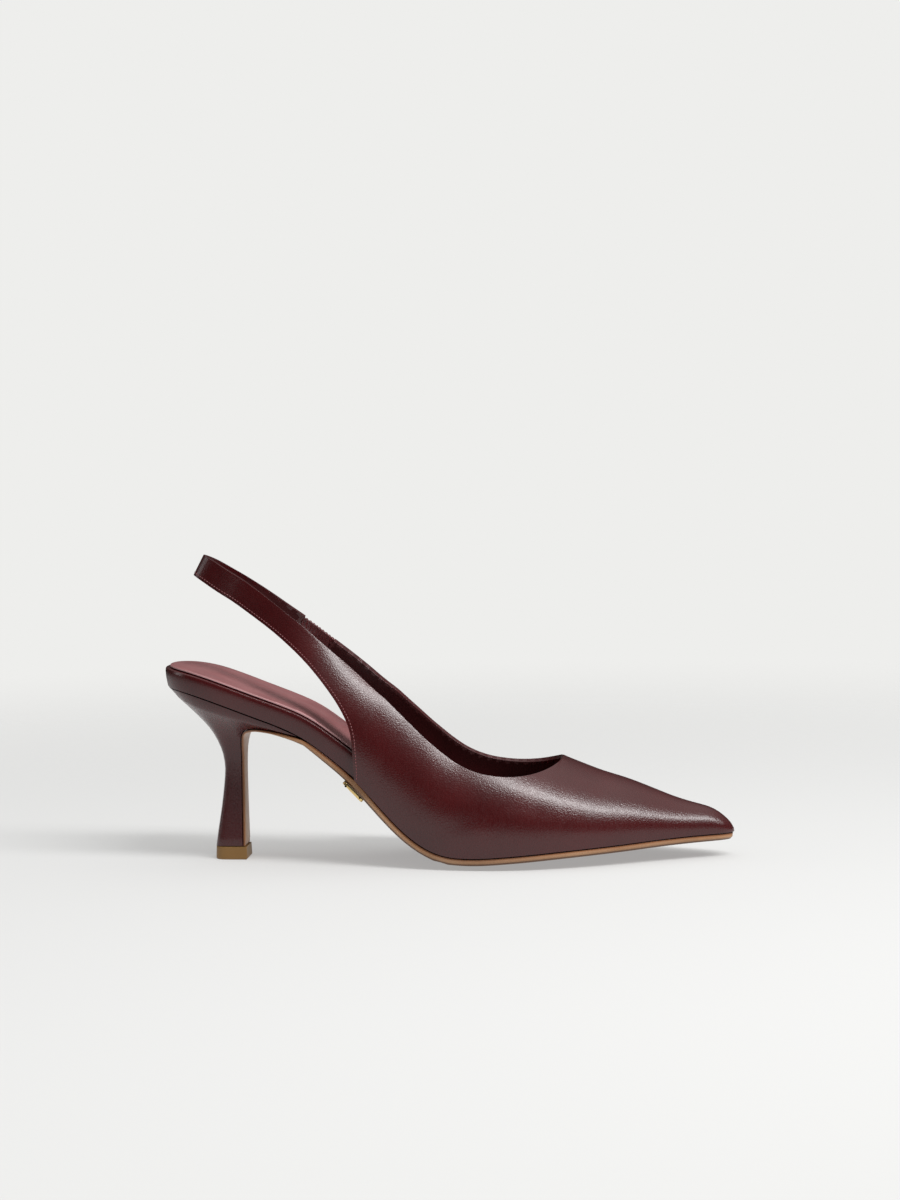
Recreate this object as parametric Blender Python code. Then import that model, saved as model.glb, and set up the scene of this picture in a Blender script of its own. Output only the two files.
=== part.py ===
"""Slingback pump, right shoe, pointed toe on a flared heel.

The shoe is built on the form of its last. X runs from the back of the heel seat to the toe,
Y from the outer side to the inner side, and Z up from the floor. Each piece that a shoemaker
puts together is one closed solid: the covered insole board, the insole, the heel and its top
piece, the outsole that runs down the heel breast, the hollow upper with its sling, the elastic
gore in the sling, and a plain plate under the waist.
"""

import math

import bmesh
import bpy
from mathutils import Vector

# Driving sizes, in metres
LENGTH = 0.252
BALL_WIDTH = 0.075
HEEL_HEIGHT = 0.0775
TOE_SPRING = 0.0078
VAMP_HEIGHT = 0.0374
SLING_HEIGHT = 0.060

# Material thicknesses
WALL = 0.0020
SOLE_THICKNESS = 0.0028
WAIST_THICKNESS = 0.0030
BREAST_THICKNESS = 0.0014
SOLE_BEVEL = 0.0011
SOLE_INSET = 0.0005
RAND_HEIGHT = 0.0084
BOARD_THICKNESS = 0.0024
RAND_TUCK = 0.0011
RAND_ROUND = 0.0014
INSOLE_THICKNESS = 0.0009
INSOLE_INSET = 0.0021
INSOLE_ROUND = 0.0008

# The sole's tread is flat in the middle and lifts towards its edges at the ball
EDGE_LIFT = 0.0024
FLAT_SHARE = 0.32

# The sole's edge runs from under the rand to under the upper over this stretch
EDGE_STEP_BEHIND = 0.006
EDGE_STEP_AHEAD = 0.010

# Heel, top piece and plate
HEEL_WIDTH = 0.0138
HEEL_COVER_INSET = 0.0006
TOP_PIECE_LIP = 0.0003
TOP_PIECE_ROUND = 0.0004
PLATE_LENGTH = 0.0118
PLATE_WIDTH = 0.0050
PLATE_THICKNESS = 0.0012
PLATE_X = 0.3545 * LENGTH
PLATE_FROM_EDGE = 0.0034

# Elastic gore in the inner side of the sling
ELASTIC_BACK_X = 0.242 * LENGTH
ELASTIC_FRONT_X = 0.2935 * LENGTH
ELASTIC_THICKNESS = 0.0012
ELASTIC_MARGIN = 0.0006

# Rounding of the heel seat and of the toe, seen from above and from the side
SEAT_ROUND = 0.027
SEAT_POWER = 2.25
NOSE_ROUND = 0.0055
NOSE_DROP = 0.0105
NOSE_DROP_POWER = 2.0

CLEARANCE = 0.0003
STRAP_TAPER = 0.12
THROAT_X = 0.702 * LENGTH
CROWN_FROM_X = 0.460 * LENGTH
CROWN_TO_X = 0.560 * LENGTH
QUARTER_X = 0.3464 * LENGTH
HEEL_FRONT_X = 0.246 * LENGTH

# The last seen from above. The swing is where its ridge line lies. Feather widths are those of
# the upper's lower edge and body widths those of its fullest part. All are shares of
# BALL_WIDTH, and the place is a share of LENGTH.
LAST_PLAN = (
    # place, swing, outer feather, inner feather, outer body, inner body
    (0.000, 0.000, 0.384, 0.384, 0.392, 0.392),
    (0.140, 0.000, 0.388, 0.380, 0.394, 0.388),
    (0.240, 0.000, 0.384, 0.350, 0.396, 0.384),
    (0.340, 0.000, 0.400, 0.318, 0.422, 0.392),
    (0.400, 0.006, 0.424, 0.330, 0.452, 0.412),
    (0.460, 0.012, 0.464, 0.366, 0.488, 0.438),
    (0.520, 0.016, 0.500, 0.416, 0.520, 0.466),
    (0.580, 0.020, 0.522, 0.462, 0.540, 0.492),
    (0.640, 0.024, 0.518, 0.482, 0.534, 0.502),
    (0.700, 0.030, 0.478, 0.470, 0.493, 0.486),
    (0.760, 0.037, 0.409, 0.424, 0.422, 0.438),
    (0.820, 0.045, 0.322, 0.352, 0.333, 0.364),
    (0.880, 0.053, 0.228, 0.264, 0.237, 0.274),
    (0.940, 0.060, 0.136, 0.168, 0.142, 0.175),
    (1.000, 0.067, 0.050, 0.072, 0.054, 0.076),
)

# The bottom line of the last from the side. It falls by shares of HEEL_HEIGHT behind the ball
# and climbs by shares of TOE_SPRING before it, and lift is the share of EDGE_LIFT there.
BOTTOM_LINE = (
    # place, heel, toe, lift
    (0.000, 1.008, 0.000, 0.00),
    (0.040, 0.989, 0.000, 0.00),
    (0.073, 0.961, 0.000, 0.00),
    (0.120, 0.905, 0.000, 0.00),
    (0.165, 0.847, 0.000, 0.00),
    (0.214, 0.784, 0.000, 0.00),
    (0.253, 0.721, 0.000, 0.00),
    (0.296, 0.617, 0.000, 0.00),
    (0.344, 0.482, 0.000, 0.00),
    (0.392, 0.305, 0.000, 0.12),
    (0.419, 0.202, 0.000, 0.30),
    (0.446, 0.115, 0.000, 0.55),
    (0.472, 0.052, 0.000, 0.80),
    (0.499, 0.014, 0.000, 0.95),
    (0.526, 0.000, 0.000, 1.00),
    (0.552, 0.000, 0.000, 1.00),
    (0.605, 0.000, 0.109, 0.98),
    (0.657, 0.000, 0.250, 0.93),
    (0.707, 0.000, 0.390, 0.84),
    (0.761, 0.000, 0.520, 0.70),
    (0.815, 0.000, 0.655, 0.53),
    (0.869, 0.000, 0.800, 0.37),
    (0.924, 0.000, 0.905, 0.22),
    (1.000, 0.000, 1.000, 0.00),
)

# Height of the ridge over the feather line, as shares of VAMP_HEIGHT. Behind the throat it is the
# crown that the walls of the open sections curve towards.
RIDGE_LINE = (
    # place, height
    (0.460, 1.830),
    (0.500, 1.645),
    (0.540, 1.490),
    (0.580, 1.364),
    (0.620, 1.242),
    (0.660, 1.119),
    (0.702, 0.990),
    (0.716, 0.946),
    (0.741, 0.869),
    (0.769, 0.786),
    (0.814, 0.676),
    (0.869, 0.507),
    (0.897, 0.424),
    (0.925, 0.360),
    (0.953, 0.306),
    (0.974, 0.250),
    (1.000, 0.185),
)

# The topline. Its height over the feather line is a share of the height there, which is
# SLING_HEIGHT along the sling and VAMP_HEIGHT at the throat, and its half width of BALL_WIDTH.
TOPLINE = (
    # place, height, half width
    (0.0706, 1.014, 0.040),
    (0.0933, 0.996, 0.070),
    (0.1148, 0.973, 0.090),
    (0.1480, 0.941, 0.118),
    (0.1774, 0.903, 0.144),
    (0.2091, 0.853, 0.173),
    (0.2401, 0.814, 0.201),
    (0.2710, 0.788, 0.223),
    (0.3016, 0.776, 0.241),
    (0.3313, 0.776, 0.260),
    (0.3659, 0.789, 0.287),
    (0.3929, 0.814, 0.312),
    (0.4198, 0.850, 0.337),
    (0.4468, 0.868, 0.359),
    (0.4734, 0.861, 0.377),
    (0.5000, 0.833, 0.384),
    (0.5258, 0.793, 0.391),
    (0.5520, 0.763, 0.397),
    (0.5782, 0.752, 0.397),
    (0.6040, 0.756, 0.389),
    (0.6294, 0.777, 0.372),
    (0.6552, 0.818, 0.338),
    (0.6750, 0.871, 0.284),
    (0.6900, 0.926, 0.206),
    (0.6980, 0.966, 0.122),
    (0.7020, 0.990, 0.000),
)
SLING_HEIGHT_UP_TO = 0.400

# The free lower edge, from the back of the sling down the rear edge of the quarter to the sole,
# with the place on the topline that stands square across from each row. The strap stands upright
# at the back and takes the slant of the quarter at its root.
SLING_EDGE = (
    # place, height as a share of SLING_HEIGHT, place across on the topline, uprightness
    (0.0520, 0.844, 0.0706, 1.00),
    (0.0706, 0.819, 0.0903, 1.00),
    (0.0925, 0.789, 0.1140, 1.00),
    (0.1246, 0.756, 0.1474, 0.98),
    (0.1877, 0.675, 0.2120, 0.84),
    (0.2401, 0.592, 0.2660, 0.56),
    (0.2960, 0.506, 0.3270, 0.14),
    (0.3246, 0.431, 0.3672, 0.03),
    (0.3409, 0.334, 0.4000, 0.00),
    (0.3452, 0.165, 0.4250, 0.00),
    (0.3464, 0.000, 0.4540, 0.00),
)
LOOP_ROW = 3

# Where the columns of the quarter meet its lower edge and the topline
QUARTER_COLUMNS = (
    # place below, place above
    (0.3464, 0.454),
    (0.4200, 0.490),
    (0.5120, 0.542),
    (0.6140, 0.618),
    (0.7020, 0.702),
)

# The heel from the side: its back and its breast, the half width, and how squarely its back is
# rounded. Heights are shares of HEEL_HEIGHT, places of LENGTH and widths of HEEL_WIDTH.
HEEL_RINGS = (
    # back place, back height, breast place, breast height, half width, roundness
    (0.0850, 0.078, 0.1346, 0.078, 0.500, 3.4),
    (0.0895, 0.180, 0.1342, 0.180, 0.455, 3.2),
    (0.0960, 0.310, 0.1340, 0.310, 0.405, 3.0),
    (0.1005, 0.430, 0.1338, 0.430, 0.370, 2.8),
    (0.1025, 0.520, 0.1338, 0.520, 0.362, 2.7),
    (0.0991, 0.605, 0.1341, 0.598, 0.390, 2.6),
    (0.0904, 0.682, 0.1348, 0.662, 0.510, 2.5),
    (0.0758, 0.765, 0.1380, 0.724, 0.760, 2.4),
    (0.0552, 0.842, 0.1480, 0.760, 1.080, 2.3),
    (0.0353, 0.907, 0.1710, 0.776, 1.410, 2.25),
    (0.0183, 0.960, 0.2080, 0.766, 1.690, 2.25),
)
HEEL_SIDE_STEPS = 9
HEEL_FRONT_STEPS = 6

# Steps of the meshes
ROWS_UP_THE_WALL = 10
STEPS_PER_QUARTER_ROW = 5
STEPS_PER_EDGE_ROW = 3
LOOP_STEPS = 10
VAMP_STEPS = 24
STEPS_ACROSS = 7
ROW_STEP = 0.0058
SEAT_STEPS = 9
TOE_STEPS = 9
TOE_START = 0.88

# Colours as linear values with roughness and metallic value
FINISHES = {
    "burgundy_leather": ((0.060, 0.013, 0.015), 0.38, 0.0),
    "lining_leather": ((0.110, 0.034, 0.038), 0.50, 0.0),
    "tan_sole_leather": ((0.420, 0.235, 0.130), 0.45, 0.0),
    "top_piece_rubber": ((0.280, 0.150, 0.055), 0.55, 0.0),
    "burgundy_elastic": ((0.050, 0.012, 0.014), 0.80, 0.0),
    "gold_metal": ((0.800, 0.560, 0.220), 0.25, 1.0),
}

OUTER = -1
INNER = 1


def clear_scene():
    """Empties the scene that Blender starts with."""
    for obj in list(bpy.data.objects):
        bpy.data.objects.remove(obj)


def through(rows, t):
    """The row at t, counted in rows, on a smooth curve through all rows."""
    last = len(rows) - 1
    t = min(max(t, 0.0), float(last))
    i = min(int(t), last - 1)
    f = t - i
    before = rows[max(i - 1, 0)]
    after = rows[min(i + 2, last)]
    found = []
    for p0, p1, p2, p3 in zip(before, rows[i], rows[i + 1], after):
        m1 = (p2 - p0) / (2 if i > 0 else 1)
        m2 = (p3 - p1) / (2 if i + 2 <= last else 1)
        found.append(
            (2 * f**3 - 3 * f**2 + 1) * p1
            + (f**3 - 2 * f**2 + f) * m1
            + (3 * f**2 - 2 * f**3) * p2
            + (f**3 - f**2) * m2
        )
    return found


def gentle(a, b):
    """A slope between two slopes that never overshoots: level where they change sign."""
    if a * b <= 0:
        return 0.0
    return 2 * a * b / (a + b)


def even(a, b):
    """The mean of two slopes, for a table that has no flats."""
    return (a + b) / 2


def at(table, place, slope_between=gentle):
    """The columns after the first, smoothly, where the first column has this value."""
    last = len(table) - 1
    place = min(max(place, table[0][0]), table[last][0])
    i = 0
    while i < last - 1 and place > table[i + 1][0]:
        i += 1
    row, following = table[i], table[i + 1]
    step = following[0] - row[0]
    f = (place - row[0]) / step
    found = []
    for c in range(1, len(row)):
        slope = (following[c] - row[c]) / step
        m1 = slope
        m2 = slope
        if i > 0:
            behind = (row[c] - table[i - 1][c]) / (row[0] - table[i - 1][0])
            m1 = slope_between(behind, slope)
        if i + 1 < last:
            ahead = (table[i + 2][c] - following[c]) / (table[i + 2][0] - following[0])
            m2 = slope_between(slope, ahead)
        found.append(
            (2 * f**3 - 3 * f**2 + 1) * row[c]
            + (f**3 - 2 * f**2 + f) * m1 * step
            + (3 * f**2 - 2 * f**3) * following[c]
            + (f**3 - f**2) * m2 * step
        )
    return found


def eased(edge_0, edge_1, value):
    """0 before edge_0, 1 after edge_1, and smooth between."""
    t = min(max((value - edge_0) / (edge_1 - edge_0), 0.0), 1.0)
    return t * t * (3 - 2 * t)


def mixed(a, b, t):
    return a + (b - a) * t


# The last


def swing(x):
    """Y of the ridge line."""
    return at(LAST_PLAN, x / LENGTH, even)[0] * BALL_WIDTH


def nose(x):
    """1 along the shoe, falling to 0 at the tip as the toe rounds off from above."""
    t = max(0.0, (x - (LENGTH - NOSE_ROUND)) / NOSE_ROUND)
    return math.sqrt(max(0.0, 1 - t * t))


def nose_drop(x):
    """The same seen from the side."""
    t = max(0.0, (x - (LENGTH - NOSE_DROP)) / NOSE_DROP)
    return max(0.0, 1 - min(t, 1.0) ** NOSE_DROP_POWER) ** (1 / NOSE_DROP_POWER)


def feather(x, side):
    """Half width of the upper's lower edge from the ridge line."""
    column = 1 if side == OUTER else 2
    return at(LAST_PLAN, x / LENGTH, even)[column] * BALL_WIDTH * nose(x)


def body(x, side):
    """Half width of the upper at its fullest."""
    column = 3 if side == OUTER else 4
    return at(LAST_PLAN, x / LENGTH, even)[column] * BALL_WIDTH * nose(x)


def bottom(x, y=0.0):
    """Height of the top of the outsole, or of the heel, at a place on it."""
    heel, toe, lift = at(BOTTOM_LINE, x / LENGTH)
    centre = SOLE_THICKNESS + heel * (HEEL_HEIGHT - SOLE_THICKNESS) + toe * TOE_SPRING
    side = OUTER if y < swing(x) else INNER
    reach = max(feather(x, side), NOSE_ROUND)
    out = max(0.0, abs(y - swing(x)) / reach - FLAT_SHARE) / (1 - FLAT_SHARE)
    return centre + lift * EDGE_LIFT * out**2


def level(x):
    """Cosine of the slope of the bottom line."""
    step = ROW_STEP
    slope = (bottom(x + step) - bottom(x - step)) / (2 * step)
    return 1 / math.sqrt(1 + slope * slope)


def gap(x):
    """Height between two pieces that lie CLEARANCE apart on the slope of the bottom line."""
    return CLEARANCE / level(x)


def feather_height(x, side):
    """Height of the upper's lower edge."""
    return bottom(x, swing(x) + side * feather(x, side)) + gap(x)


def lowest_angle(x, side):
    """The angle on the section's ellipse at which the upper leaves the sole."""
    full = body(x, side)
    if full <= 0:
        return 0.0
    return -math.acos(min(1.0, feather(x, side) / full))


def crown(x, side):
    """Height over the feather line at which the section closes, or would close if it were whole."""
    closed = at(RIDGE_LINE, x / LENGTH)[0] * VAMP_HEIGHT * nose_drop(x)
    if x >= CROWN_TO_X:
        return closed
    low = math.sin(lowest_angle(x, side))
    reach = at(TOPLINE, x / LENGTH)[1] * BALL_WIDTH / body(x, side)
    top = math.sqrt(1 - min(1.0, reach) ** 2)
    through_topline = topline_height(x) * (1 - low) / (top - low)
    return mixed(through_topline, closed, eased(CROWN_FROM_X, CROWN_TO_X, x))


def angle_at(x, rise, side):
    """The angle on the section at x of a point that lies this far over the feather line."""
    low = math.sin(lowest_angle(x, side))
    return math.asin(min(1.0, low + rise / crown(x, side) * (1 - low)))


def top_angle(x, side):
    """The angle on the section's ellipse at the topline, or at the ridge before the throat."""
    return math.pi / 2 if x >= THROAT_X else angle_at(x, topline_height(x), side)


def on_last(x, angle, side):
    """A point of the upper's outer face, by its angle on the section at x."""
    low = math.sin(lowest_angle(x, side))
    rise = (math.sin(angle) - low) / (1 - low)
    y = swing(x) + side * body(x, side) * math.cos(angle)
    return Vector((x, y, feather_height(x, side) + crown(x, side) * rise))


# The pattern of the upper


def topline_height(x):
    """Height of the topline over the feather line."""
    behind = SLING_HEIGHT_UP_TO * LENGTH
    t = min(max((x - behind) / (THROAT_X - behind), 0.0), 1.0)
    return at(TOPLINE, x / LENGTH)[0] * mixed(SLING_HEIGHT, VAMP_HEIGHT, t)


def column(low_x, low_rise, top_x, side):
    """Points up the wall from its lower edge to the topline."""
    low = angle_at(low_x, low_rise, side)
    top = top_angle(top_x, side)
    return [
        on_last(mixed(low_x, top_x, k / ROWS_UP_THE_WALL), mixed(low, top, k / ROWS_UP_THE_WALL), side)
        for k in range(ROWS_UP_THE_WALL + 1)
    ]


def sling_column(t, side):
    """The column at a row, or between two rows, of the free lower edge."""
    place, height, across, upright = through(SLING_EDGE, t)
    points = column(place * LENGTH, max(0.0, height * SLING_HEIGHT), across * LENGTH, side)
    top = points[-1].y
    for k, point in enumerate(points):
        strap = top * (1 - STRAP_TAPER * (1 - k / ROWS_UP_THE_WALL))
        point.y = mixed(point.y, strap, min(max(upright, 0.0), 1.0))
    return points


def sling_row_at(top_x):
    """The row of the free lower edge that stands across from this place on the topline."""
    low, high = float(LOOP_ROW), float(len(SLING_EDGE) - 1)
    for _ in range(40):
        middle = (low + high) / 2
        if through(SLING_EDGE, middle)[2] * LENGTH < top_x:
            low = middle
        else:
            high = middle
    return (low + high) / 2


def sling_columns(first, last, side):
    """Columns between two rows of the free lower edge, in even steps."""
    steps = max(1, round(abs(last - first) * STEPS_PER_EDGE_ROW))
    return [sling_column(mixed(first, last, k / steps), side) for k in range(steps + 1)]


def quarter_columns(side):
    """Columns of the quarter, from its rear edge to the throat, crowding towards the throat."""
    rows = len(QUARTER_COLUMNS) - 1
    steps = rows * STEPS_PER_QUARTER_ROW
    found = []
    for k in range(1, steps + 1):
        t = k / steps
        below, above = through(QUARTER_COLUMNS, rows * (1 - (1 - t) ** 1.35))
        found.append(column(below * LENGTH, 0.0, min(above * LENGTH, THROAT_X), side))
    found[-1] = column(THROAT_X, 0.0, THROAT_X, side)
    return found


def vamp_places():
    """Places of the sections from the throat to the tip, crowding towards the tip."""
    return [
        mixed(THROAT_X, LENGTH, math.sin(k / VAMP_STEPS * math.pi / 2) ** 1.15)
        for k in range(1, VAMP_STEPS)
    ]


def vamp_column(x, side):
    low = lowest_angle(x, side)
    return [
        on_last(x, mixed(low, math.pi / 2, k / ROWS_UP_THE_WALL), side)
        for k in range(ROWS_UP_THE_WALL + 1)
    ]


def loop_columns():
    """Columns round the back of the sling, from its outer side to its inner side."""
    outer = sling_column(LOOP_ROW, OUTER)
    inner = sling_column(LOOP_ROW, INNER)
    back_low, _, back_top, _ = SLING_EDGE[0]
    found = []
    for k in range(1, LOOP_STEPS * 2):
        turn = math.pi * k / (LOOP_STEPS * 2)
        reach = math.sin(turn)
        edge_x = mixed(outer[0].x, back_low * LENGTH, reach)
        edge = at([row[:2] for row in SLING_EDGE[: LOOP_ROW + 1]], edge_x / LENGTH)[0]
        top_x = mixed(outer[-1].x, back_top * LENGTH, reach)
        share = (1 - math.cos(turn)) / 2
        low = Vector((edge_x, mixed(outer[0].y, inner[0].y, share), 0))
        low.z = bottom(edge_x) + gap(edge_x) + edge * SLING_HEIGHT
        top = Vector((top_x, mixed(outer[-1].y, inner[-1].y, share), 0))
        top.z = bottom(top_x) + gap(top_x) + topline_height(top_x)
        found.append([low.lerp(top, r / ROWS_UP_THE_WALL) for r in range(ROWS_UP_THE_WALL + 1)])
    return found


# Meshes


def new_object(name, mesh, finish, parent):
    """Puts a finished mesh in the scene, smooth with creases at its real edges."""
    mesh.shade_smooth()
    mesh.set_sharp_from_angle(angle=math.radians(38))
    obj = bpy.data.objects.new(name, mesh)
    obj.data.materials.append(material(finish))
    obj.parent = parent
    bpy.context.scene.collection.objects.link(obj)
    return obj


def material(name):
    """The Principled material of a finish, made once."""
    found = bpy.data.materials.get(name)
    if found:
        return found
    colour, roughness, metallic = FINISHES[name]
    made = bpy.data.materials.new(name)
    made.use_nodes = True
    shader = made.node_tree.nodes["Principled BSDF"]
    shader.inputs["Base Color"].default_value = (*colour, 1.0)
    shader.inputs["Roughness"].default_value = roughness
    shader.inputs["Metallic"].default_value = metallic
    return made


def mesh_from(bm, name):
    """Closes a bmesh into a mesh whose faces point outwards."""
    bmesh.ops.remove_doubles(bm, verts=bm.verts, dist=1e-6)
    bmesh.ops.recalc_face_normals(bm, faces=bm.faces)
    mesh = bpy.data.meshes.new(name)
    bm.to_mesh(mesh)
    bm.free()
    return mesh


def skin(bm, columns):
    """Faces between neighbouring columns of points."""
    made = [[bm.verts.new(point) for point in points] for points in columns]
    for left, right in zip(made, made[1:]):
        for a, b, c, d in zip(left, right, right[1:], left[1:]):
            bm.faces.new((a, b, c, d))
    return made


def thickened(mesh, thickness, name, finish, parent):
    """A sheet given its thickness, inwards from the face that is modelled."""
    obj = new_object(name, mesh, finish, parent)
    wall = obj.modifiers.new("wall", "SOLIDIFY")
    wall.thickness = thickness
    wall.offset = -1
    wall.use_even_offset = True
    wall.use_quality_normals = True
    return obj


def point_outwards(bm):
    """Turns an open sheet round if its faces look at the inside of the shoe."""
    bmesh.ops.recalc_face_normals(bm, faces=bm.faces)
    bm.normal_update()
    votes = 0.0
    for face in bm.faces:
        centre = face.calc_center_median()
        outward = Vector((0.0, centre.y - swing(centre.x), 0.0))
        votes += face.normal.dot(outward) * face.calc_area()
    if votes < 0:
        bmesh.ops.reverse_faces(bm, faces=bm.faces)


def make_upper(parent):
    """Vamp, both quarters and the sling: one wall, open at the top, the back and below."""
    bm = bmesh.new()
    last_row = len(SLING_EDGE) - 1
    elastic_back = sling_row_at(ELASTIC_BACK_X)
    elastic_front = sling_row_at(ELASTIC_FRONT_X)
    vamp = vamp_places()
    inner = sling_columns(elastic_front, last_row, INNER) + quarter_columns(INNER)
    inner += [vamp_column(x, INNER) for x in vamp]
    outer = [vamp_column(x, OUTER) for x in reversed(vamp)]
    outer += list(reversed(quarter_columns(OUTER)))
    outer += list(reversed(sling_columns(LOOP_ROW, last_row, OUTER)))
    sling = sling_columns(LOOP_ROW, elastic_back, INNER)
    skin(bm, inner)
    skin(bm, outer + loop_columns() + sling)
    tip = bm.verts.new((LENGTH, swing(LENGTH), feather_height(LENGTH, OUTER)))
    bm.verts.ensure_lookup_table()
    close_tip(bm, tip, [inner[-1], outer[0]])
    bmesh.ops.remove_doubles(bm, verts=bm.verts, dist=1e-6)
    point_outwards(bm)
    mesh = bpy.data.meshes.new("upper")
    bm.to_mesh(mesh)
    bm.free()
    return thickened(mesh, WALL, "upper", "burgundy_leather", parent)


def close_tip(bm, tip, columns):
    """Triangles from the last column of each side to the tip of the toe."""
    for points in columns:
        verts = [bm.verts.new(point) for point in points]
        for a, b in zip(verts, verts[1:]):
            bm.faces.new((a, b, tip))


def make_elastic(parent):
    """The elastic gore between the two ends of the sling, a little narrower and thinner."""
    margin = ELASTIC_MARGIN
    back = sling_row_at(ELASTIC_BACK_X + CLEARANCE)
    front = sling_row_at(ELASTIC_FRONT_X - CLEARANCE)
    columns = []
    for points in sling_columns(back, front, INNER):
        low, top = points[0], points[-1]
        share = margin / (top - low).length
        inset = (WALL - ELASTIC_THICKNESS) / 2
        kept = [low.lerp(points[1], share * ROWS_UP_THE_WALL), *points[2:-2]]
        kept.append(top.lerp(points[-2], share * ROWS_UP_THE_WALL))
        columns.append([Vector((p.x, p.y - inset, p.z)) for p in kept])
    bm = bmesh.new()
    skin(bm, columns)
    point_outwards(bm)
    mesh = bpy.data.meshes.new("elastic")
    bm.to_mesh(mesh)
    bm.free()
    return thickened(mesh, ELASTIC_THICKNESS, "elastic", "burgundy_elastic", parent)


def inset_ring(ring, distance):
    """A closed outline moved inwards by a distance, its corners mitred."""
    count = len(ring)
    area = sum(
        ring[i][0] * ring[(i + 1) % count][1] - ring[(i + 1) % count][0] * ring[i][1]
        for i in range(count)
    )
    turn = 1 if area > 0 else -1
    moved = []
    for i in range(count):
        here = Vector(ring[i])
        to_here = (here - Vector(ring[i - 1])).normalized()
        from_here = (Vector(ring[(i + 1) % count]) - here).normalized()
        inward = [Vector((-d.y, d.x)) * turn for d in (to_here, from_here)]
        middle = (inward[0] + inward[1]).normalized()
        moved.append(here + middle * distance / max(0.4, middle.dot(inward[0])))
    return moved


def slab(name, outline, levels, place, finish, parent):
    """A closed plate from rows of (along, outer across, inner across). Each level is an inset
    of the outline and a depth from 0 at the upper face to 1 at the lower one."""
    bm = bmesh.new()
    shares = [j / STEPS_ACROSS for j in range(STEPS_ACROSS + 1)]
    rows = len(outline)
    index = []
    for i in range(rows):
        index.append([(i, 0 if outline[i][1] == outline[i][2] else j) for j in range(STEPS_ACROSS + 1)])
    ring = [index[i][0] for i in range(rows)]
    ring += index[-1][1:-1]
    ring += [index[i][-1] for i in reversed(range(rows))]
    ring += list(reversed(index[0][1:-1]))
    ring = [key for n, key in enumerate(ring) if key != ring[n - 1]]
    flat = [(outline[i][0], mixed(outline[i][1], outline[i][2], shares[j])) for i, j in ring]
    loops = []
    for inset, depth in levels:
        moved = dict(zip(ring, inset_ring(flat, inset)))
        loops.append((moved, {key: bm.verts.new(place(*p, depth)) for key, p in moved.items()}))
    for (_, upper), (_, lower) in zip(loops, loops[1:]):
        for a, b in zip(ring, ring[1:] + ring[:1]):
            bm.faces.new((upper[a], upper[b], lower[b], lower[a]))
    for (moved, verts), (_, depth) in ((loops[0], levels[0]), (loops[-1], levels[-1])):
        for i in range(rows):
            low, high = Vector(moved[index[i][0]]), Vector(moved[index[i][-1]])
            for j, key in enumerate(index[i]):
                if key not in verts:
                    verts[key] = bm.verts.new(place(*low.lerp(high, shares[j]), depth))
        for one, two in zip(index, index[1:]):
            for j in range(STEPS_ACROSS):
                corners = []
                for key in (one[j], two[j], two[j + 1], one[j + 1]):
                    if verts[key] not in corners:
                        corners.append(verts[key])
                if len(corners) > 2:
                    bm.faces.new(corners)
    return new_object(name, mesh_from(bm, name), finish, parent)


def stations():
    """Places that board, insole and outsole share, so that their gaps stay even."""
    first, last = SEAT_ROUND + INSOLE_INSET, TOE_START * LENGTH
    steps = round((last - first) / ROW_STEP)
    return [mixed(first, last, k / steps) for k in range(steps + 1)]


def crowded(first, last, steps):
    """Places from first to last that crowd towards last."""
    return [mixed(first, last, math.sin(k / steps * math.pi / 2)) for k in range(steps + 1)]


# Insole board and insole


def seat_round(x, start):
    """0 at the back of the heel seat, rising to 1 as the seat reaches its full width."""
    t = max(0.0, 1 - (x - start) / SEAT_ROUND)
    return max(0.0, 1 - t**SEAT_POWER) ** (1 / SEAT_POWER)


def board_edge(x, side, inset=0.0):
    """Y of the edge of the insole board, which fills the upper and shows as the rand behind."""
    half = (feather(x, side) - WALL - CLEARANCE - inset) * seat_round(x, inset)
    return swing(x) + side * max(half, 0.0)


def board_height(x):
    """Thickness of the covered board: the rand behind, thin inside the upper."""
    inside = eased(QUARTER_X, 0.52 * LENGTH, x)
    return mixed(RAND_HEIGHT / level(x), BOARD_THICKNESS, inside)


def board_outline(inset, front):
    """Rows of the board's outline from the back of the seat to its end in the toe."""
    seat_end = SEAT_ROUND + INSOLE_INSET
    seat = [seat_end + inset - x for x in crowded(inset, seat_end, SEAT_STEPS)]
    rows = []
    for x in sorted(seat)[:-1] + stations() + crowded(TOE_START * LENGTH, front, TOE_STEPS)[1:]:
        rows.append((x, board_edge(x, OUTER, inset), board_edge(x, INNER, inset)))
    for i in (0, -1):
        middle = (rows[i][1] + rows[i][2]) / 2
        rows[i] = (rows[i][0], middle, middle)
    return rows


def make_board(parent):
    """The covered insole board. Its side is the rand that shows behind the quarter."""
    front = LENGTH - NOSE_ROUND
    levels = (
        (RAND_ROUND, 0.0),
        (RAND_ROUND * 0.3, 0.05),
        (0.0, 0.18),
        (RAND_TUCK * 0.35, 0.6),
        (RAND_TUCK, 1.0),
    )

    def place(x, y, depth):
        return Vector((x, y, bottom(x, y) + gap(x) + board_height(x) * (1 - depth)))

    return slab("insole_board", board_outline(0.0, front), levels, place, "burgundy_leather", parent)


def make_insole(parent):
    """The insole laid on the board, set in from the rand."""
    front = LENGTH - NOSE_ROUND - 2 * INSOLE_INSET
    levels = (
        (INSOLE_ROUND, 0.0),
        (INSOLE_ROUND / 4, 0.25),
        (0.0, 1.0),
    )

    def place(x, y, depth):
        under = bottom(x, y) + board_height(x) + 2 * gap(x)
        return Vector((x, y, under + INSOLE_THICKNESS * (1 - depth)))

    return slab("insole", board_outline(INSOLE_INSET, front), levels, place, "lining_leather", parent)


# Heel and top piece


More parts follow.
